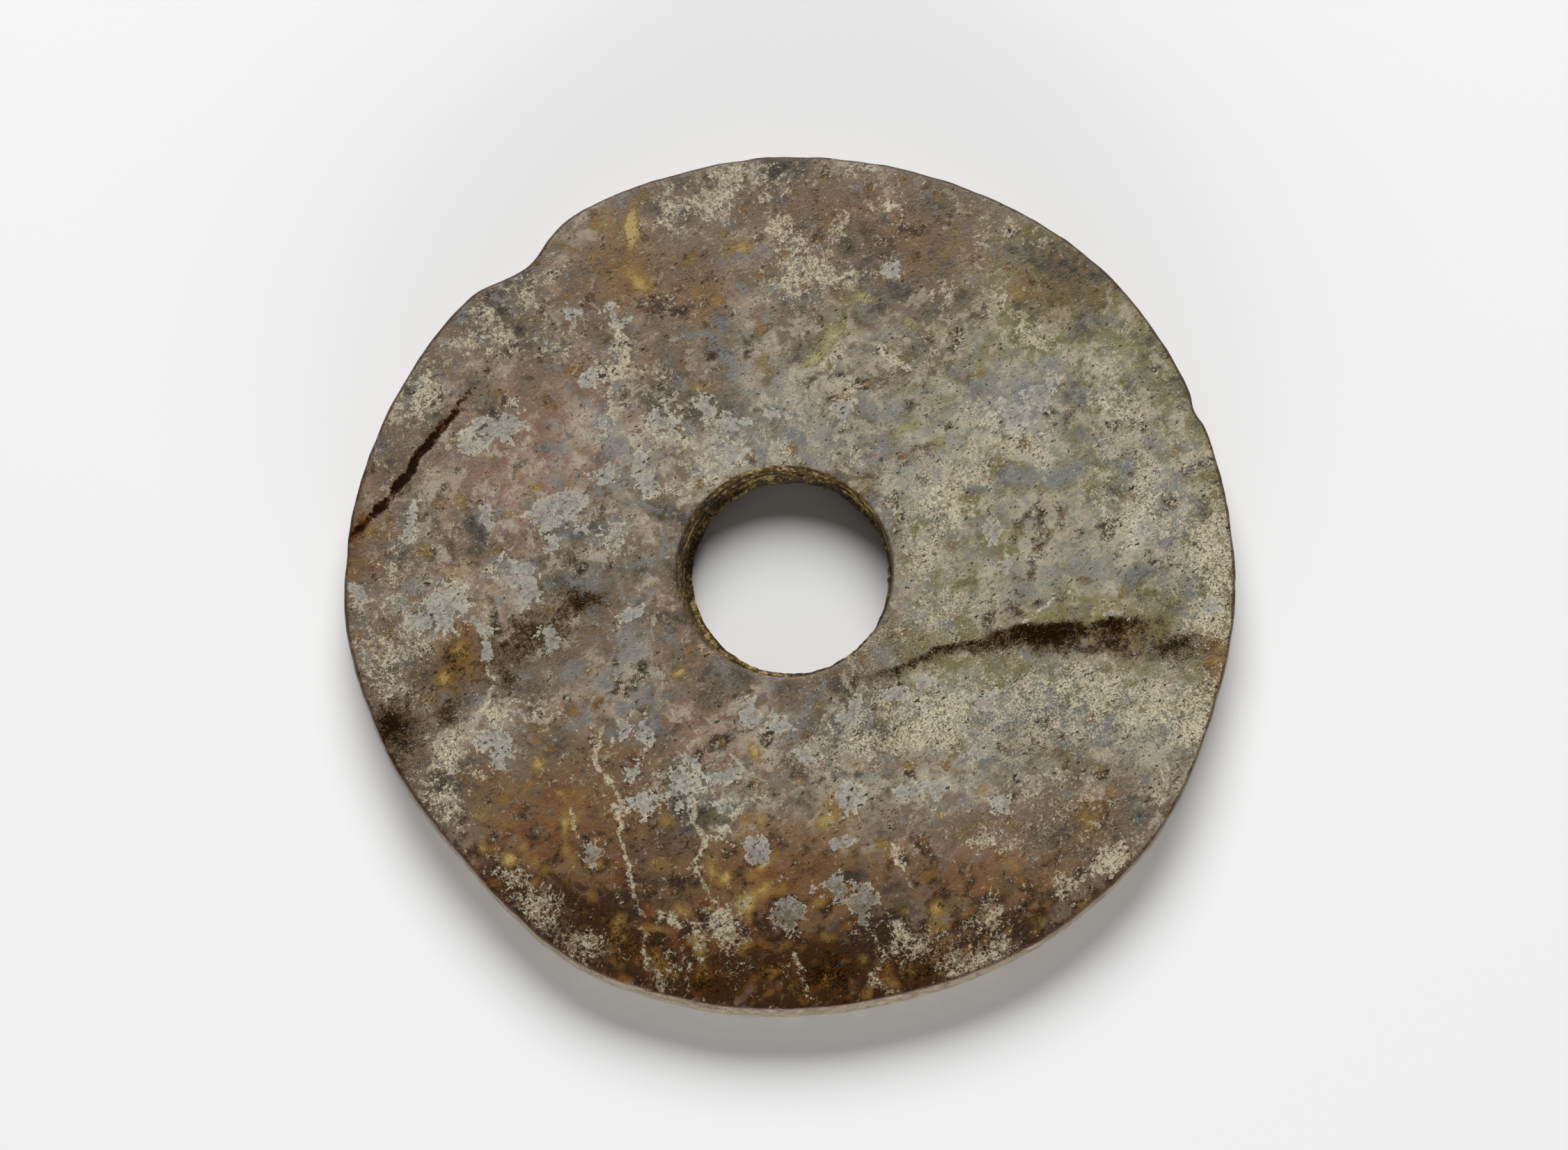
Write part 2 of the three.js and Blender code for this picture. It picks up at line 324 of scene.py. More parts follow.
# Amber that glows from below the surface
ambers = [
    (-36, 81, 1.4, 5, 0, 1.5), (-42, 84, 2.5, 4, 0, 0.8), (-38, 70, 6, 9, 0, 0.5), (-34, 68, 2, 3, 0, 0.6),
    (-27, 75, 1.6, 2, 0, 0.5), (-22, 65, 1.6, 2, 0, 0.7), (-45, 73, 1, 2, 0, 0.6),
    (-21, 43, 2, 1.5, 0, 0.6), (-12, 77, 4, 2.5, 0, 0.8), (-12, 72, 3, 1.3, 0, 0.7),
    (-6, 51, 1.6, 3.6, 15, 0.6), (-18, 43, 2, 1.5, 0, 0.5), (13, 42, 1.3, 3, 0, 0.7),
    (36, 76, 5, 3, 0, 0.6), (52, 66, 4, 2.6, 0, 0.6), (49, 76, 3, 2, 0, 0.4), (18, 82, 4, 3, 0, 0.4),
    (-74, 17, 1.1, 2.2, 10, 1.1), (-78, 16, 1.5, 1, 0, 0.7), (-63, 14, 1.2, 1.2, 0, 0.7),
    (-61, 23, 1.2, 1, 0, 0.5), (-57, 20, 2, 1.2, 0, 0.7), (-49, 20, 1.5, 1, 0, 0.5),
    (-83, 6, 2.4, 2, 0, 0.6), (-75, 0, 3, 3, 0, 0.6), (-73, -19, 4, 5, 0, 0.7), (-77, -24, 2.5, 1.8, 20, 1),
    (-81, -28.5, 2, 1.2, 0, 0.9), (-54, -8, 4, 2, 0, 0.5), (-34, -8, 0.8, 1.5, 30, 0.9),
    (-25, -23, 2, 1.5, 20, 0.8), (-22, -17, 3, 2, 0, 0.5), (-57, -38, 1.8, 1.3, 20, 1.1),
    (-53, -35, 2.5, 1.4, 20, 0.6), (-40, -10, 3, 3, 0, 0.4), (-42, -22, 3, 2, 0, 0.4),
    (-56, -43.5, 1.8, 1.5, 0, 1), (-31, -42.5, 1.5, 2, 0, 0.6), (-51, -49.5, 1.1, 1.1, 0, 0.8),
    (-46, -53, 4, 5, 0, 0.6), (-62, -48, 3, 4, 0, 0.5), (-68, -54, 3, 2.5, 30, 0.6),
    (-63, -57, 2, 3, 0, 0.6), (-49.5, -58, 1.2, 2.5, 0, 0.8), (-62, -64.5, 1.9, 1.8, 0, 1.1),
    (-56.5, -65, 2.6, 2, 0, 0.9), (-48, -65, 1.8, 2.5, 0, 0.8), (-68, -62, 1.5, 2, 0, 0.8),
    (-28, -66, 4.5, 2.2, 0, 0.7), (-31, -75, 1, 1, 0, 0.8), (-24, -76, 2.6, 1.8, -20, 1),
    (-28, -80, 2, 1.2, 0, 0.8), (-38, -78, 1.5, 2.5, 0, 0.8), (-38, -84, 3, 3, 0, 0.7),
    (-27, -88, 1.6, 2.4, 30, 0.6), (-27, -56, 3, 3, 0, 0.4), (-8, -40.5, 1.2, 3, 25, 1),
    (1.5, -47, 0.8, 1.1, 0, 0.8), (-8, -50, 3, 1.4, 30, 0.6), (9, -51, 1.5, 1.5, 0, 0.8),
    (8, -56, 2.8, 2.5, 0, 1.2), (-6, -56, 2.4, 3, 0, 0.7), (-11, -58, 1.5, 4, -30, 0.7),
    (-17, -66, 1.6, 3.4, 20, 1.1), (-14, -68, 1, 1.8, 0, 0.9), (-5.5, -65, 3, 1.1, 35, 1.2),
    (-6, -70, 5, 2, 40, 0.8), (-10, -75, 2.6, 3.6, 0, 1.1), (17, -64, 1, 2, 0, 0.7),
    (19, -72, 2, 3, 0, 0.5), (22, -63, 2, 3, 0, 0.5), (8, -82, 1.5, 2.4, 20, 0.6), (33, -76, 2.8, 3, 30, 1),
    (24, -76, 3, 2, 0, 0.3), (34, -55, 2, 1.6, 0, 0.6), (42, -48, 2.4, 3, 20, 0.7),
    (48, -66, 2.6, 3, 30, 0.7), (-19.5, -87, 1.4, 6, 8, 0.8), (16, -87, 2, 2, 0, 0.7),
    (22, -92, 4, 2, 15, 0.7), (30, -43, 4.5, 1.6, 0, 0.5), (15, -44, 2, 1.5, 0, 0.5),
    (66, -56, 3, 3, 30, 0.6), (71, -50, 2.4, 2.2, 0, 0.6), (66, -41, 6, 2.5, 0, 0.35),
    (74, -64, 3, 1.2, 45, 0.8), (96, -19, 2.4, 5, 0, 0.8), (66, -75, 3, 1.5, 45, 0.7),
    (54, -78, 4, 1.6, 0, 0.5),
]
# Green that glows the same way
greens = [
    (16, 64, 2.6, 1.9, -20, 1), (9, 56, 5, 2.4, 30, 0.8), (5, 50, 5.5, 1.6, 40, 1), (26, 34, 4, 2.3, 10, 1),
    (34.5, 31, 3, 2.4, 20, 0.8), (26, 42, 5, 2, 10, 0.6), (27, 58, 2.2, 1.2, -30, 0.9),
    (33, 56, 2, 1.4, -30, 0.6), (50, 10, 5, 3.4, 0, 0.6), (60, 11, 3.4, 1.6, 10, 0.6),
    (72, -6, 5, 2.2, 20, 0.8), (57, -9.5, 6, 1.6, 15, 0.9), (67, -10, 3, 1.2, 20, 0.9),
    (75, 53, 3, 3.4, 0, 0.6), (78, 48, 3, 3, 0, 0.5), (62, 47, 3, 2, 0, 0.5), (64, 66, 8, 6, 0, 0.25),
    (14, 60, 18, 9, 0, 0.35), (44, 50, 5, 4, 0, 0.4), (33, 73, 5, 3, 0, 0.4), (65, 0, 7, 4, 40, 0.4),
    (48, -46, 4, 4, 0, 0.3), (65, -38, 6, 4, 0, 0.4), (-74, 2, 3, 3, 0, 0.3), (60, 60, 9, 9, 0, 0.15),
    (-10, -74, 2, 2.6, 0, 0.7), (8, -56, 2.4, 2.4, 0, 0.7), (-67, -53, 3, 3, 30, 0.5),
]
# Dark stain, most of it below the scarp and along the near rim; there it is partly painted shade, where the
# scarps and the rolled-off face turn away from the lamp
stain_and_shade_marks = [
    (-46, -6, 5, 2.8, -12, 1.4), (-51, -8, 4, 3, 0, 0.5), (-57, -8, 5, 3, 0, 0.4), (-54, -14, 5, 4, 0, 0.9),
    (-61, -17, 6, 5, 0, 0.6), (-73, -19, 5, 5, 0, 0.4), (-64, -24, 4, 3, 0, 0.8),
    (-78, -31, 4, 3.5, 0, 0.5), (-89, -34, 4, 5, 25, 1), (-83, -40, 4, 5, 20, 0.6),
    (-75, -31, 3, 3, 0, 0.5), (-87, -47, 2.6, 8, 28, 0.7), (-97, 10, 2, 6, 0, 0.6),
    (-17, 53, 7, 4, 0, 0.35), (60, -15, 4, 2.6, 30, 0.7), (71, -14.5, 4, 3, 20, 0.6),
    (65, -17.5, 3, 1.6, 0, 0.6), (84, -11, 3, 2, 0, 0.4), (88, -17, 3, 3, 0, 0.6),
    (92, -13, 2, 1.6, 0, 0.6), (95, -20, 2, 4, 0, 0.6), (30, 79, 8, 4, 0, 0.2), (-10, -88, 30, 6, 2, 0.7),
    (-35, -84, 12, 6, -20, 0.5), (30, -88, 16, 5, 12, 0.5), (54, -78, 5, 3, 20, 0.5),
    (70, -68, 8, 3, 40, 0.5), (-62, -73, 8, 4, -42, 0.6), (10, -88, 6, 5, 0, 0.5), (-4, -96, 25, 2, 0, 0.6),
    (88, -42, 1.5, 12, -30, 0.4), (35, -65, 10, 4, 0, 0.2), (-25, -60, 8, 4, 0, 0.3),
    (-96, 25, 1.5, 12, -15, 0.4), (24, 8, 3, 4, 0, -0.1), (52, -14, 12, 3.5, 12, 0.35),
    (76, -15, 14, 4, 0, 0.5), (90, -17, 6, 6, 0, 0.5), (-78, -32, 7, 6, 0, 0.35), (-88, -37, 5, 6, 25, 0.9),
    (83, -17, 3, 2, 0, 0.8), (74, -17, 2.4, 2, 0, 0.7), (-63, -14, 7, 5, 0, 0.4), (-77, -20, 5, 6, 0, 0.4),
    (-73, -48, 6, 5, -45, 0.3), (62, -17, 8, 3, 5, 0.4), (-46, -76, 13, 5, -30, 0.7),
    (5, -91, 8, 4, 0, 0.6), (-18, -93, 7, 3, 0, 0.6), (30, -90, 6, 3, 15, 0.6), (56, -74, 5, 3, 35, 0.5),
]
# Ground that is warm brown
warms = [
    (-38, 72, 13, 14, 0, 0.6), (-50, -58, 20, 14, 0, 0.85), (-5, -72, 24, 12, 0, 1),
    (8, 86, 22, 7, 0, 0.35), (35, 76, 14, 8, 0, 0.35), (62, 68, 11, 9, 0, 0.35), (-74, -19, 6, 8, 0, 0.9),
    (45, -70, 20, 9, 0, 0.7), (-15, -90, 50, 8, 0, 1), (-98, 8, 2.5, 18, 0, 0.6), (-60, 42, 14, 9, 0, 0.3),
    (-45, 20, 12, 8, 0, 0.2), (20, -43, 16, 3, 0, 0.4), (30, -88, 25, 6, 15, 0.6), (66, -55, 6, 6, 0, 0.5),
    (-22, -17, 5, 4, 0, 0.4), (-27, 48, 9, 5, 0, 0.35), (10, -55, 14, 8, 0, 0.4), (95, -20, 3, 6, 0, 0.8),
    (-20, 65, 8, 9, 0, 0.5), (-62, -70, 10, 8, -45, 0.7), (-35, -80, 14, 9, -25, 0.8),
    (-40, -38, 16, 9, 0, 0.3), (-92, 8, 5, 16, 0, 0.4), (76, -15, 18, 5, 0, 0.35), (20, 64, 24, 9, 0, 0.25),
    (-70, -44, 10, 5, -45, 0.3),
]
# Ground that is tinted slate blue
slates = [
    (-17, 53, 9, 6, 0, 0.8), (-50, 12, 10, 7, 0, 0.5), (-40, 30, 4, 20, 0, 0.5), (52, 41, 11, 6, 20, 0.9),
    (58, 25, 11, 10, 0, 0.6), (-35, -20, 4, 13, 0, 0.6), (-38, -36, 8, 6, 0, 0.6), (-22, -49, 7, 6, 0, 0.6),
    (14, -31, 7, 5, 40, 0.7), (52, -33, 14, 5, 0, 0.7), (72, -35, 10, 6, 0, 0.5), (42, -44, 8, 4, 0, 0.6),
    (0, 32, 24, 7, 0, 0.6), (-13, -53, 6, 4, 0, 0.5), (24, 71, 3, 5, -30, 0.8), (-46, -4, 6, 4, 0, 0.7),
    (60, -25, 8, 5, 0, 0.5), (84, 10, 5, 10, 0, 0.6), (87, 22, 6, 8, 0, 0.5), (60, 0, 14, 5, 20, 0.4),
    (-60, 0, 6, 5, 0, 0.5), (-78, -9, 6, 5, 0, 0.6), (25, 38, 8, 4, 0, 0.5), (-62, 63, 6, 5, 0, 0.4),
    (30, 12, 12, 12, 0, 0.3), (35, -65, 9, 5, 0, 0.3), (-75, 60, 4, 3, 0, 0.4), (-80, 45, 5, 4, 0, 0.4),
]
# Ground under a pale bloom. Less than nothing keeps it deep.
pales = [
    (34, 32, 46, 24, 20, 0.66), (84, 15, 14, 26, 0, 0.55), (50, -32, 38, 10, 0, 0.6),
    (10, -42, 17, 7, 0, 0.6), (-36, 24, 26, 15, 0, 0.5), (-30, 62, 12, 8, 0, 0.3),
    (-85, 10, 8, 18, 0, 0.35), (2, 45, 17, 7, 0, 0.5), (45, -47, 22, 8, 0, 0.3), (80, -42, 14, 8, -20, 0.7),
    (-30, -20, 14, 14, 0, 0.35), (-75, -42, 9, 8, -50, 0.3), (10, -58, 12, 6, 0, 0.6),
    (-6, -58, 14, 7, 0, 0.3), (92, -3, 6, 12, 0, 0.7), (-32, 46, 9, 7, 0, 0.5), (-40, 2, 12, 6, 0, 0.3),
    (18, 62, 22, 8, 0, 0.25), (84, 6, 9, 12, 0, 0.2), (62, 50, 12, 10, 0, 0.4), (14, 60, 18, 8, 0, 0.4),
    (45, -2, 24, 8, 20, 0.55), (10, -54, 14, 12, 0, 0.7), (76, 24, 9, 14, 0, 0.4),
    (-38, 74, 12, 10, 0, 0.7), (-58, -60, 9, 7, 0, 0.6), (-62, 15, 16, 8, 0, 0.3), (72, 2, 14, 8, 0, 0.5),
    (24, -46, 12, 5, 0, 0.5), (12, 80, 16, 12, 0, -0.5), (52, -60, 16, 9, 0, -0.7),
    (-45, -76, 12, 8, 0, -0.8), (86, -38, 8, 10, -25, 0.4),
]
# Ground that is grainy, like sand
sands = [
    (55, -33, 38, 12, 0, 1), (96, -5, 10, 32, 0, 1), (-76, -42, 14, 10, -45, 0.5),
    (30, -12, 24, 9, 15, 0.7), (8, -42, 20, 8, 0, 0.7), (77, 24, 9, 16, 0, 0.7), (56, -58, 24, 9, 10, 0.6),
    (-88, -8, 12, 22, 0, 0.7), (30, 20, 14, 14, 0, 0.5), (-84, 42, 10, 16, -35, 0.4),
    (5, 74, 10, 12, 0, 0.6),
]
# Ground that is reddish
reds = [
    (-50, 25, 24, 20, 0, 0.8), (-24, -14, 13, 14, 0, 0.7), (-72, 0, 14, 14, 0, 0.4),
    (-66, 16, 14, 12, 0, 0.4), (-20, -38, 14, 10, 0, 0.6), (-32, 48, 12, 10, 0, 0.5),
    (30, -44, 10, 4, 0, 0.5), (45, -66, 18, 8, 0, 0.5),
]
# Pale veins, each a line through its points
veins = [
    [
        (-42, -34), (-42, -42), (-39, -50), (-37.5, -58), (-36, -64), (-34, -70), (-33, -76), (-31.5, -83),
        (-29, -94),
    ],
    [(-21, -46), (-22, -52), (-20.5, -60), (-20, -66), (-18, -71), (-15, -77), (-16, -83)],
    [(24, -80), (22.5, -84), (20.5, -88), (18, -94)], [(24, -62), (26, -70)], [(0, -86), (4, -95)],
    [(-20.5, -60), (-14, -57)], [(-15, -77), (-7, -72), (-1, -67)], [(-12, -55), (-5, -50)],
    [(-28, -75), (-25, -79), (-21, -78)], [(-48.5, -53), (-46, -60)], [(11, 83), (12.5, 79)],
    [(20, 54), (22, 49), (27, 47)], [(-68, -22), (-66, -38)], [(53, -12), (60, -4)], [(63, -4), (64, -7)],
    [(-20.5, -78), (-19, -86)], [(-41, 62), (-38, 50), (-40, 42), (-39, 34)],
]


def spots(x, y, marks):
    """How much of the marks lies at each point: every mark is strongest at its middle and fades out."""
    total = np.zeros(x.shape)
    for mark_x, mark_y, length, width, turn, strength in marks:
        c, s = math.cos(math.radians(turn)), math.sin(math.radians(turn))
        along = ((x - mark_x) * c + (y - mark_y) * s) / length
        across = ((y - mark_y) * c - (x - mark_x) * s) / width
        total += strength * np.exp(-(along**2 + across**2))
    return total


def patches(x, y, marks):
    """1 at the middle of a patch, 0 at its border and down to -1 outside."""
    level = np.full(x.shape, -1.0)
    for mark_x, mark_y, length, width, turn in marks:
        c, s = math.cos(math.radians(turn)), math.sin(math.radians(turn))
        along = ((x - mark_x) * c + (y - mark_y) * s) / length
        across = ((y - mark_y) * c - (x - mark_x) * s) / width
        level = np.maximum(level, 1 - np.hypot(along, across))
    return level


def layout(x, y, sawn):
    """The share of each look at each point of a face."""
    stray = 1.4  # mm that a mark's border wanders, with a finer fringe on it
    fringe = 0.5
    warp_x = x + stray * rough(x, y, cell=6, seed=101) + fringe * rough(x, y, cell=1.8, seed=111, octaves=2)
    warp_y = y + stray * rough(x, y, cell=6, seed=121) + fringe * rough(x, y, cell=1.8, seed=131, octaves=2)
    groove_away, groove_along = path_distance(x + fringe * rough(x, y, cell=3, seed=141), y, groove)
    # Dirt fills the groove unevenly from its faint end, 0, to the rim, 1.
    groove_places = [0, 0.2, 0.27, 0.33, 0.4, 0.5, 0.68, 0.75, 0.85, 1]
    groove_fills = [0.2, 0.5, 1, 0.6, 0.9, 1, 1, 0.7, 0.8, 0.6]
    groove_dark = np.interp(groove_along, groove_places, groove_fills)
    groove_dark *= 1 + 0.5 * lattice(warp_x, warp_y, cell=3, seed=171)
    # Painted shade fills the foot of the first scarp, whose step faces away from the lamp. Its strength and
    # its reach in mm change along X.
    arc_x, arc_y, arc_radius = saw_troughs[0][:3]
    half_warp_x, half_warp_y = warp_x * 0.5 + x * 0.5, (warp_y + y) / 2
    inside = arc_radius - np.hypot(half_warp_x - shift_x - arc_x, half_warp_y - shift_y - arc_y)
    crest_width = 0.9
    reach = np.interp(x, [8, 38, 46, 60, 66, 80], [1.4, 1.8, 3.4, 3.4, 2.4, 2])
    scarp_shade = np.where(
        inside < crest_width,
        ease((inside + 0.7) / (crest_width + 0.7)),
        np.exp(-((inside - crest_width) / reach) ** 2),
    )
    scarp_shade_places = [8, 16, 30, 40, 48, 60, 66, 76, 84]
    scarp_shade_strengths = [0, 0.9, 1.1, 1, 1.4, 1.4, 1, 0.9, 0]
    scarp_shade *= np.interp(x, scarp_shade_places, scarp_shade_strengths) * sawn
    scarp_shade *= 1 + 0.35 * lattice(warp_x, warp_y, cell=4, seed=161)
    vein_away = np.full(x.shape, 9.0)
    for vein in veins:
        away, along = path_distance(warp_x, warp_y, vein)
        vein_away = np.minimum(vein_away, away)
    vein_crust = 0.2 * np.exp(-(vein_away / 1.8) ** 2)
    return {
        "crust": spots(warp_x, warp_y, crusts) * (1 - 0.8 * scarp_shade) + vein_crust,
        "scar": patches(warp_x, warp_y, scars),
        "amber": spots(x * 0.5 + warp_x * 0.5, y * 0.5 + warp_y * 0.5, ambers),
        "green": spots(warp_x, warp_y, greens),
        "stain_and_shade": spots(warp_x, warp_y, stain_and_shade_marks) + scarp_shade,
        "groove": ease(1.5 - groove_away / 1.1) * groove_dark * sawn,
        "vein": ease(1.2 - vein_away / 0.6),
        "pale": spots(warp_x, warp_y, pales),
        "warm": spots(warp_x, warp_y, warms),
        "slate": spots(warp_x, warp_y, slates),
        "sand": spots(warp_x, warp_y, sands),
        "red": spots(warp_x, warp_y, reds),
        # Darker towards the near rim: partly the stone's own dark, partly painted shade where the face rolls
        # away from the lamp
        "near_rim_dark_and_shade": ease((-55 - y + 0.15 * np.maximum(0, -x)) / 40),
        "east": ease((x - 5 - 0.5 * np.maximum(0, y - 30)) / 35) * ease((y + 60) / 40),
    }


x, y, z = points.T
above = layout(x, y, sawn=1.0)
under_turn = math.radians(200)
under_x = -x * math.cos(under_turn) + y * math.sin(under_turn)
under_y = x * math.sin(under_turn) + y * math.cos(under_turn)
below = layout(under_x, under_y, sawn=0.0)
from_above = ease((z - 2) / 6)
for name in above:
    values = above[name] * from_above + below[name] * (1 - from_above)
    mesh.attributes.new(name, "FLOAT", "POINT").data.foreach_set("value", values.astype(np.float32))
from_axis = np.hypot(x - bore_x - shift_x, y - bore_y - shift_y)
bore_wall = ease((mouth_radius + 0.3 - from_axis) / 0.6)
mesh.attributes.new("bore", "FLOAT", "POINT").data.foreach_set("value", bore_wall.astype(np.float32))
from_circle = rim_at(np.arctan2(y - shift_y, x - shift_x)) - np.hypot(x - shift_x, y - shift_y)
rim_wall = ease((0.9 - from_circle) / 0.5) * ease((thickness - 0.9 - z) / 0.8)
mesh.attributes.new("rim", "FLOAT", "POINT").data.foreach_set("value", rim_wall.astype(np.float32))
# Within about a millimetre of the outline, on the upper half: painted shade on the rounded upper edge
edge_line = ease((1.3 - from_circle) / 0.7) * ease((z - thickness / 2) / 3)
mesh.attributes.new("edge", "FLOAT", "POINT").data.foreach_set("value", edge_line.astype(np.float32))

# Nephrite that lay long in the ground: brown and olive-grey, clear enough for amber to glow in it, and
# weathered to a buff, grainy crust in patches. It gives the eye a soft satin sheen over a mottled depth.
nephrite = bpy.data.materials.new("weathered_nephrite")
nephrite.use_nodes = True
nephrite.node_tree.nodes.clear()


def srgb(code):
    """Linear colour from a hex code as a screen shows it."""
    parts = [int(code[i:i + 2], 16) / 255 for i in (1, 3, 5)]
    return tuple(c / 12.92 if c < 0.04045 else ((c + 0.055) / 1.055) ** 2.4 for c in parts) + (1,)


def add(kind, inputs=None, output=None, **settings):
    """Adds a node with its settings, fills or links its inputs, and returns the named or first output."""
    tree = nephrite.node_tree
    made = tree.nodes.new(kind)
    for name, value in settings.items():
        setattr(made, name, value)
    for name, value in (inputs or {}).items():
        socket = made.inputs[name] if isinstance(name, int) else next(
            i for i in made.inputs if i.name == name and i.enabled)
        if isinstance(value, bpy.types.NodeSocket):
            tree.links.new(value, socket)
        else:
            socket.default_value = value
    return made.outputs[output] if output else next((o for o in made.outputs if o.enabled), made)


# Noises, from about -1 to 1: width of a lump in mm, detail, roughness, distortion, stretch along the polish.
# Crystals of the crust, about 0.1 mm, are drawn 0.3 to 0.4 mm wide ("dust" and "grain"), as fine as shows.
# Coordinates are in metres, so a lump's scale is 1000 over its width in mm.
per_metre = 1000
noise_gain = 7.0  # a noise node gives about 0.36 to 0.64
noise_middle = -3.5
polish_turn = math.radians(32)
noises = {
    "broad": (20, 3, 0.5, 0, 1), "cloud": (8, 4, 0.6, 0.5, 1), "patch": (3.6, 4, 0.62, 0.6, 1),
    "lump": (3.8, 0.4, 0.4, 0, 1.2), "deep_lump": (5.5, 1.2, 0.45, 0.6, 1), "small": (1.3, 4, 0.7, 0, 1),
    "grain": (0.42, 2, 0.6, 0, 1), "brushed": (0.7, 3, 0.65, 0, 3.5), "tangle": (0.9, 3, 0.65, 0.8, 1),
    "speck": (0.7, 2, 0.55, 0, 2.2), "island": (5.5, 5, 0.62, 0.3, 1),
    "marbled": (6.5, 6, 0.62, 0.9, 1), "dust": (0.3, 1.5, 0.6, 0, 1.3),
}
place = add("ShaderNodeTexCoord", output="Object")
looks = {}
for name, (width, detail, roughness, distortion, stretch) in noises.items():
    turned = add("ShaderNodeMapping", {
        "Vector": place, "Rotation": (0, 0, polish_turn), "Scale": (stretch, 1, 1),
    }, vector_type="TEXTURE")
    noise = add("ShaderNodeTexNoise", {
        "Vector": turned, "Scale": per_metre / width,
        "Detail": detail, "Roughness": roughness, "Distortion": distortion,
    })
    looks[name] = add("ShaderNodeMath", {0: noise, 1: noise_gain, 2: noise_middle}, operation="MULTIPLY_ADD")
# Thin ridges run where a noise crosses its middle.
for name, ridge in {"tangle": "thread", "marbled": "marble"}.items():
    away = add("ShaderNodeMath", {0: looks[name]}, operation="ABSOLUTE")
    looks[ridge] = add("ShaderNodeMath", {0: away, 1: -1.5, 2: 1.0}, operation="MULTIPLY_ADD")

# A net of curly threads with meshes a little over 1 mm wide, which shows in the crust and on the scars
net_width = 1.3
curl_width = 1.1
curl_reach = 1.6 * millimetre
curl = add("ShaderNodeTexNoise", {
    "Vector": place, "Scale": per_metre / curl_width, "Detail": 3.0,
}, output="Color")
curled = add("ShaderNodeVectorMath", {0: curl, 1: (curl_reach,) * 3, 2: place}, operation="MULTIPLY_ADD")
cells = add("ShaderNodeTexVoronoi", {
    "Vector": curled, "Scale": per_metre / net_width,
}, feature="DISTANCE_TO_EDGE")
looks["net"] = add("ShaderNodeMapRange", {"Value": cells, "From Max": 0.3, "To Min": 1.0, "To Max": -0.6})

for name in [*above, "bore", "rim", "edge"]:
    looks[name] = add("ShaderNodeAttribute", output="Fac", attribute_name=name)

# Sums of noises and marks, each with its weights. The second group builds on the first.
# The weights on the darkening towards the near rim, which is partly painted shade, thin the haze and grain
# there and darken the tones of crust and scars.
sums = {
    "hollow": {"patch": -0.4, "cloud": -0.7, "broad": -0.5, "small": -0.1, "pale": -0.5},
    "bloom": {"patch": 0.35, "cloud": 0.6, "broad": 0.4, "small": 0.1, "brushed": 0.15, "pale": 0.9,
              "warm": -0.2},
    "russet": {"broad": 0.4, "cloud": 0.4, "red": 1, "small": 0.1, "slate": -0.3},
    "bluish": {"broad": -0.4, "cloud": -0.5, "deep_lump": 0.3, "slate": 0.8, "warm": -0.4},
    "veil": {"island": -0.6, "cloud": 0.35, "small": 0.25, "pale": 0.5, "warm": -0.2},
    "slaty": {"slate": 0.8, "island": 0.7, "broad": 0.2, "warm": -0.3, "pale": 0.4, "small": 0.1},
    "warmth": {"warm": 1, "cloud": 0.3, "patch": 0.15},
    "gold": {"lump": 0.65, "warm": 0.9, "broad": 0.2, "near_rim_dark_and_shade": -0.1},
    "olive": {"lump": 0.5, "deep_lump": -0.5, "east": 0.5, "small": 0.1},
    "rust": {"deep_lump": 0.6, "warm": 0.9},
    "amber_glow": {"amber": 1.25, "small": 0.1, "lump": 0.2, "brushed": 0.06},
    "green_glow": {"green": 1.2, "patch": 0.2, "brushed": 0.15},
    "stained_and_shaded": {"stain_and_shade": 1, "patch": 0.35, "small": 0.5, "grain": 0.4, "brushed": 0.15},
    "dark": {"near_rim_dark_and_shade": 1.2, "patch": 0.4, "cloud": 0.4, "lump": 0.3},
    "scarred": {"scar": 0.9, "small": 0.35, "patch": 0.45, "grain": 0.08},
    "scar_light": {"small": 0.6, "grain": 0.3, "patch": 0.5, "net": 0.15, "near_rim_dark_and_shade": -1.8, "warm": -0.2},
}
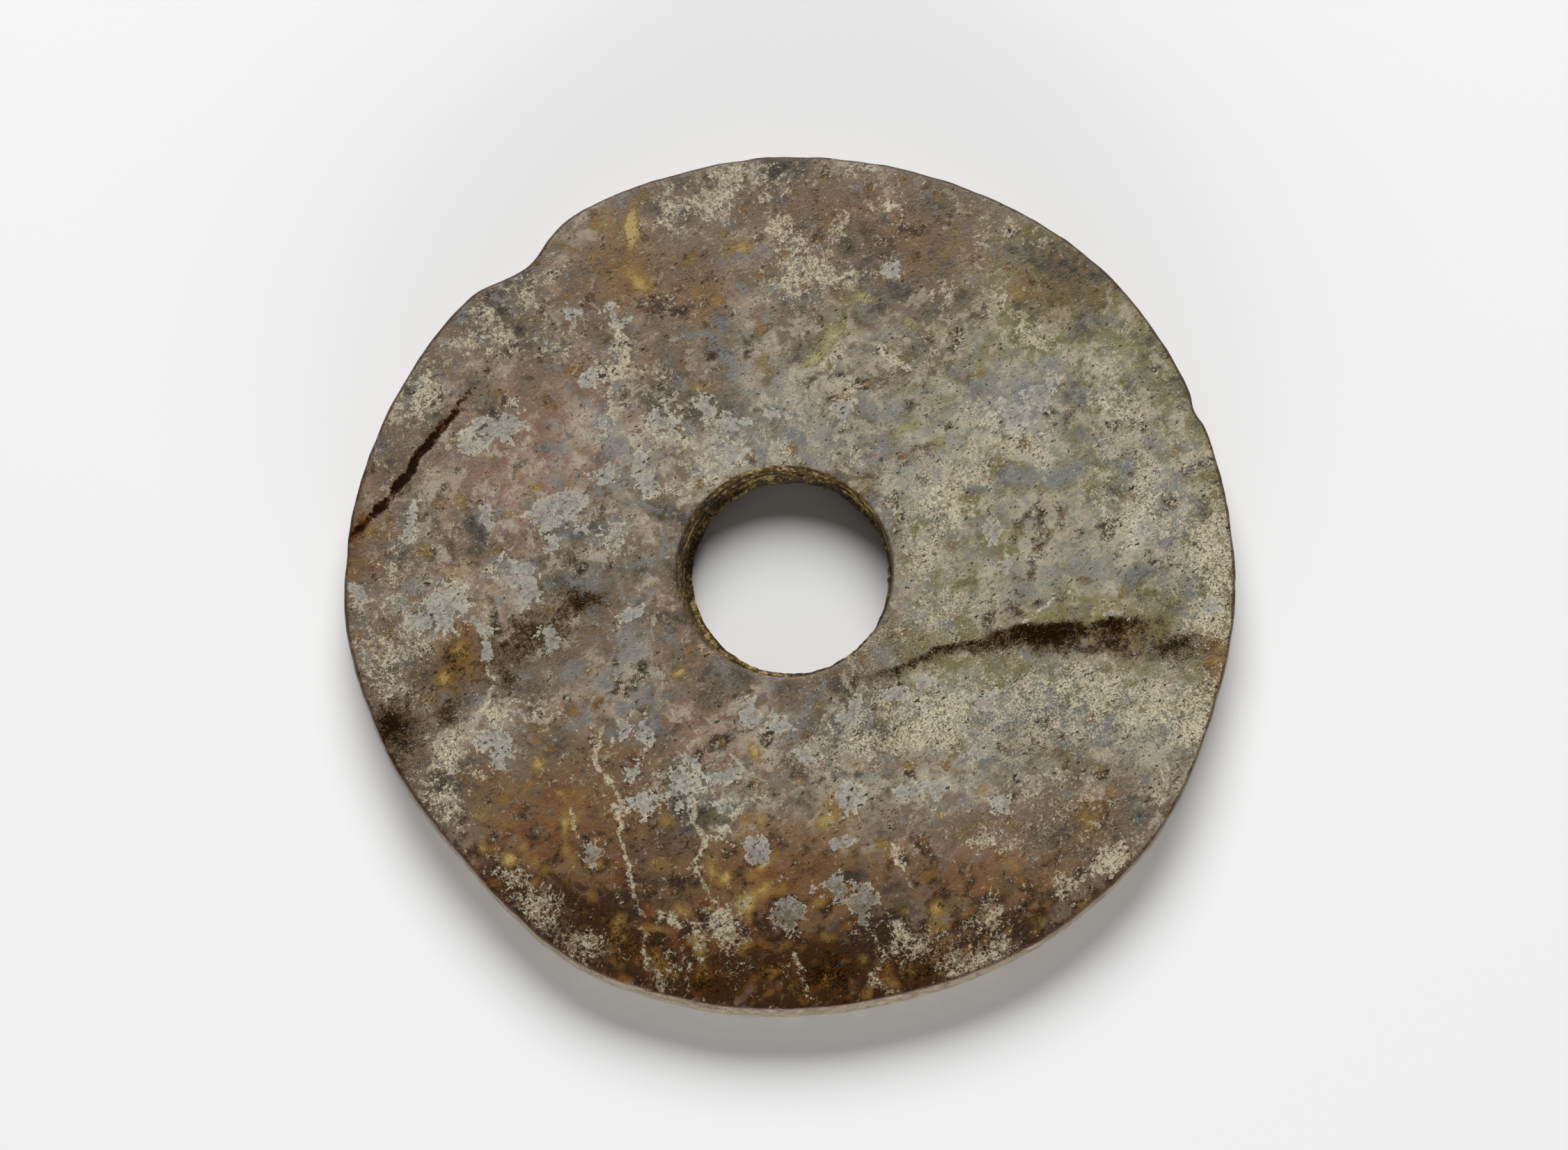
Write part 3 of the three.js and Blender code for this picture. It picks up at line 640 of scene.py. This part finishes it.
weathered = {
    "crusted": {"crust": 1.5, "patch": 0.33, "cloud": 0.2, "small": 0.15, "scar_edge": 0.25, "vein": 1.2,
                "stain_and_shade": -0.65, "marble": 0.2},
    "haze": {"crusted": 1, "small": 0.25, "thread": 0.15, "grain": 0.1, "near_rim_dark_and_shade": -0.9},
    "grainy": {"crusted": 0.8, "grain": 0.4, "small": 0.25, "thread": 0.15, "near_rim_dark_and_shade": -0.5, "sand": 0.3},
    "salt": {"dust": 0.8, "grain": 0.5, "small": 0.2, "crusted": 0.3, "sand": 0.6, "warm": -0.4,
             "near_rim_dark_and_shade": -0.5},
    "pepper": {"dust": -0.8, "grain": -0.5, "crusted": 0.2, "sand": 0.6, "patch": 0.2},
    "dry": {"brushed": 0.6, "small": 0.25, "grain": 0.3, "cloud": 0.3, "sand": 0.45, "pale": 0.1,
            "warm": -0.3},
    "wet": {"brushed": -0.6, "small": -0.3, "grain": -0.3, "sand": 0.3},
    "slate_spot": {"slate": 0.7, "patch": -0.7, "broad": 0.2, "small": 0.2, "warm": -0.3},
    "lacy": {"crusted": 0.9, "grain": 0.1, "thread": 0.4, "net": 0.5, "near_rim_dark_and_shade": 0.4},
    "threaded": {"marble": 1, "crusted": 0.3, "small": 0.2, "grain": 0.15},
    "scar_lace": {"scar_line": 1, "net": 0.3, "small": 0.4},
    "hole": {"crusted": 0.3, "grain": -0.6, "speck": -0.5, "near_rim_dark_and_shade": 0.15},
    "pit": {"speck": -0.8, "patch": 0.35, "small": -0.3, "crusted": 0.1, "pale": 0.1},
    "cut": {"groove": 2, "small": 0.6, "patch": 0.4, "grain": 0.25},
    "crust_tone": {"grain": 0.45, "small": 0.45, "cloud": 0.4, "pale": 0.4, "near_rim_dark_and_shade": -0.9, "warm": -0.3},
    "lip": {"edge": 1, "patch": 0.2, "small": 0.3},
    "rim_tone": {"patch": 0.6, "brushed": 0.5},
    "bore_tone": {"patch": 0.5, "small": 0.8, "grain": 0.4, "ring_wear": 0.5},
    "relief": {"brushed": 0.3, "small": 0.3, "grain": 0.3, "crusted": 0.2},
    "gloss": {"small": 0.06, "crusted": 0.08},
    "dull": {"groove": 2, "stain_and_shade": 1, "small": 0.3, "patch": 0.2, "near_rim_dark_and_shade": 0.3, "bore": 1},
}
for name, parts in sums.items():
    total = 0.0
    for part, weight in parts.items():
        total = add("ShaderNodeMath", {0: looks[part], 1: weight, 2: total}, operation="MULTIPLY_ADD")
    looks[name] = total
# Scars have a raised crusty edge with a pale line on it, and worn rings lie one above another in the hole.
scar_border = 0.1
off_edge = add("ShaderNodeMath", {0: looks["scarred"], 1: scar_border}, operation="SUBTRACT")
off_edge = add("ShaderNodeMath", {0: off_edge}, operation="ABSOLUTE")
looks["scar_edge"] = add("ShaderNodeMapRange", {"Value": off_edge, "From Min": 0.4, "From Max": 0.0})
looks["scar_line"] = add("ShaderNodeMapRange", {"Value": off_edge, "From Min": 0.15, "From Max": 0.0})
ring_place = add("ShaderNodeMapping", {"Vector": place, "Scale": (0.15, 0.15, 1.6)})
rings = add("ShaderNodeTexNoise", {"Vector": ring_place, "Scale": per_metre / 1.5})
looks["ring_wear"] = add("ShaderNodeMath", {
    0: rings, 1: noise_gain, 2: noise_middle,
}, operation="MULTIPLY_ADD")
for name, parts in weathered.items():
    total = 0.0
    for part, weight in parts.items():
        total = add("ShaderNodeMath", {0: looks[part], 1: weight, 2: total}, operation="MULTIPLY_ADD")
    looks[name] = total

# Tones that vary within one look, from a low value to a high one
tones = {
    "scar_face": ("scar_light", -1.3, 1.3, ("#635b48", "#8d8b83", "#b7b2a5")),
    "crust_face": ("crust_tone", -1.2, 1.2, ("#6a5b43", "#968a70", "#b6ab91", "#d6cdb5")),
    "rim_face": ("rim_tone", -1.0, 1.0, ("#4a3c2c", "#6f6250", "#857965", "#948a76")),
    "bore_face": ("bore_tone", -1.2, 1.2, ("#0a0502", "#241606", "#5a451d", "#9a8655")),
}
for name, (source, low, high, codes) in tones.items():
    level = add("ShaderNodeMapRange", {"Value": looks[source], "From Min": low, "From Max": high})
    looks[name] = add("ShaderNodeValToRGB", {"Fac": level})
    ramp = looks[name].node.color_ramp
    ramp.elements.new(0.5)
    while len(ramp.elements) < len(codes):
        ramp.elements.new(0.6)
    for i, code in enumerate(codes):
        ramp.elements[i].position = i / (len(codes) - 1)
        ramp.elements[i].color = srgb(code)

# Laid over one another: colour, the look that it follows, where it starts, where it is full, how strong it is
body = srgb("#695947")
layers = [
    ("#716848", "east", 0.0, 1.0, 1.0),
    ("#80604e", "russet", 0.1, 1.0, 0.9),
    ("#626561", "bluish", 0.1, 1.2, 0.65),
    ("#382c20", "hollow", 0.2, 1.0, 0.7),
    ("#1c140a", "hollow", 0.9, 1.6, 0.75),
    ("#6a6032", "olive", 0.5, 1.3, 0.5),
    ("#afa68f", "bloom", -0.1, 1.35, 0.85),
    ("#aaa390", "veil", 0.35, 0.7, 0.55),
    ("#777b79", "slaty", 0.2, 1.0, 0.6),
    ("#6c4b27", "warmth", 0.05, 0.8, 0.88),
    # Painted shade, with the stone's own dark, towards the near rim
    ("#241003", "dark", 0.1, 1.0, 0.95),
    ("#62300e", "rust", 0.8, 1.6, 0.6),
    ("#7b5422", "gold", 0.9, 1.6, 0.6),
    ("#9c7f3e", "gold", 1.5, 2.1, 0.35),
    ("#80642f", "amber_glow", 0.2, 1.0, 0.75),
    ("#b39a5a", "amber_glow", 0.8, 1.4, 0.75),
    ("#79713f", "green_glow", 0.15, 1.2, 0.75),
    ("#a39c6c", "green_glow", 0.8, 1.4, 0.6),
    ("#b3aa94", "dry", 0.5, 1.4, 0.6),
    ("#382b1a", "wet", 0.6, 1.4, 0.5),
    # Dark stain, and painted shade at the foot of the scarps and along the near rim
    ("#3a260a", "stained_and_shaded", 0.2, 1.0, 0.85),
    ("#180a01", "stained_and_shaded", 0.9, 1.5, 0.96),
    ("#a0967f", "haze", 0.5, 0.85, 0.6),
    ("#64686a", "slate_spot", 0.5, 1.2, 0.5),
    ("crust_face", "grainy", 0.75, 1.3, 0.7),
    ("crust_face", "lacy", 1.25, 1.5, 0.85),
    ("#b5ab92", "threaded", 1.0, 1.3, 0.65),
    ("#c6bc99", "salt", 0.9, 1.6, 0.45),
    ("#382a14", "pepper", 0.9, 1.5, 0.6),
    ("scar_face", "scarred", 0.0, 0.15, 0.82),
    ("#c6bfaa", "scar_lace", 0.6, 1.0, 0.55),
    ("#3e2008", "cut", 0.8, 1.2, 0.96),
    ("#140600", "cut", 1.3, 1.8, 0.96),
    ("#38280f", "hole", 0.85, 1.3, 0.6),
    # Painted shade on the rounded upper edge of the rim, tinted red-brown
    ("#361b0a", "lip", 0.3, 0.9, 0.75),
    ("rim_face", "rim", 0.0, 1.0, 0.85),
    ("bore_face", "bore", 0.0, 1.0, 0.95),
    ("#181007", "pit", 1.0, 1.2, 0.85),
]
for colour, look, start, full, strength in layers:
    share = add("ShaderNodeMapRange", {
        "Value": looks[look], "From Min": start, "From Max": full, "To Max": strength,
    }, interpolation_type="SMOOTHSTEP")
    tone = looks[colour] if colour in looks else srgb(colour)
    body = add("ShaderNodeMix", {"Factor": share, "A": body, "B": tone}, data_type="RGBA")

# Nephrite's IOR is 1.61. Its satin polish has worn dull, most of all where dirt fills it and where stain and
# painted shade lie.
relief_height = 0.25 * millimetre
satin_roughness = 0.42
worn_shine = 0.16
dirty_shine = 0.03
bump = add("ShaderNodeBump", {"Strength": 0.3, "Distance": relief_height, "Height": looks["relief"]})
gloss = add("ShaderNodeMath", {0: looks["gloss"], 1: satin_roughness}, operation="ADD")
shine = add("ShaderNodeMapRange", {
    "Value": looks["dull"], "From Min": 0.4, "From Max": 1.4, "To Min": worn_shine, "To Max": dirty_shine,
})
shader = add("ShaderNodeBsdfPrincipled", {
    "Base Color": body, "Roughness": gloss, "Normal": bump, "IOR": 1.61, "Specular IOR Level": shine,
})
add("ShaderNodeOutputMaterial", {"Surface": shader})
mesh.materials.append(nephrite)

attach(stone, "root")
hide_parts("bi_disc")

# The floor is a plain pale sheet, level with the surface that the disc lies on.
floor_mesh = bpy.data.meshes.new("floor")
half = 3.0  # metres from the middle to each side
floor_corners = [(-half, -half, 0), (half, -half, 0), (half, half, 0), (-half, half, 0)]
floor_mesh.from_pydata(floor_corners, [], [(0, 1, 2, 3)])
floor = bpy.data.objects.new("floor", floor_mesh)
bpy.context.scene.collection.objects.link(floor)
sheet = bpy.data.materials.new("pale_sheet")
sheet.use_nodes = True
sheet.node_tree.nodes["Principled BSDF"].inputs["Base Color"].default_value = srgb("#ececec")
sheet.node_tree.nodes["Principled BSDF"].inputs["Roughness"].default_value = 0.9
floor_mesh.materials.append(sheet)

# One large soft lamp, wider than it is high, stands beyond the disc and a little to the left. Pale walls
# fill the shadows a little.
world = bpy.data.worlds.new("studio")
bpy.context.scene.world = world
world.use_nodes = True
world.node_tree.nodes["Background"].inputs["Color"].default_value = (1, 1, 1, 1)
world.node_tree.nodes["Background"].inputs["Strength"].default_value = 0.09
lamp_data = bpy.data.lights.new("softbox", "AREA")
lamp_data.shape = "ELLIPSE"
lamp_data.size, lamp_data.size_y = 2.7, 1.8
lamp_data.energy = 142
lamp = bpy.data.objects.new("softbox", lamp_data)
bpy.context.scene.collection.objects.link(lamp)
lamp_height = math.radians(38)
lamp_turn = math.radians(92.5)
lamp_distance = 3.2
lamp.location = (
    lamp_distance * math.cos(lamp_height) * math.cos(lamp_turn),
    lamp_distance * math.cos(lamp_height) * math.sin(lamp_turn),
    lamp_distance * math.sin(lamp_height),
)
lamp.rotation_euler = (math.pi / 2 - lamp_height, 0, lamp_turn + math.pi / 2)
# A low pale card on the near side sends a little light back under the near rim.
card_data = bpy.data.lights.new("card", "AREA")
card_data.shape = "RECTANGLE"
card_data.size, card_data.size_y = 2.4, 0.35
card_data.energy = 40
card = bpy.data.objects.new("card", card_data)
bpy.context.scene.collection.objects.link(card)
card.location = (0, -1.6, 0.28)
card.rotation_euler = (math.radians(80), 0, 0)

# The camera looks down steeply from the near side, as the photograph's does.
camera_data = bpy.data.cameras.new("camera")
camera_data.sensor_width = 36
camera_data.lens = 107.6
camera_data.clip_end = 20
camera = bpy.data.objects.new("camera", camera_data)
bpy.context.scene.collection.objects.link(camera)
camera_tilt = math.radians(13)
camera_distance = 1.05
aim_x = -0.00133  # where the picture's middle falls on the upper face
aim_y = -0.0002
camera.location = (
    aim_x,
    aim_y - camera_distance * math.sin(camera_tilt),
    thickness * millimetre + camera_distance * math.cos(camera_tilt),
)
camera.rotation_euler = (camera_tilt, 0, 0)
bpy.context.scene.camera = camera
bpy.context.scene.view_settings.view_transform = "Standard"
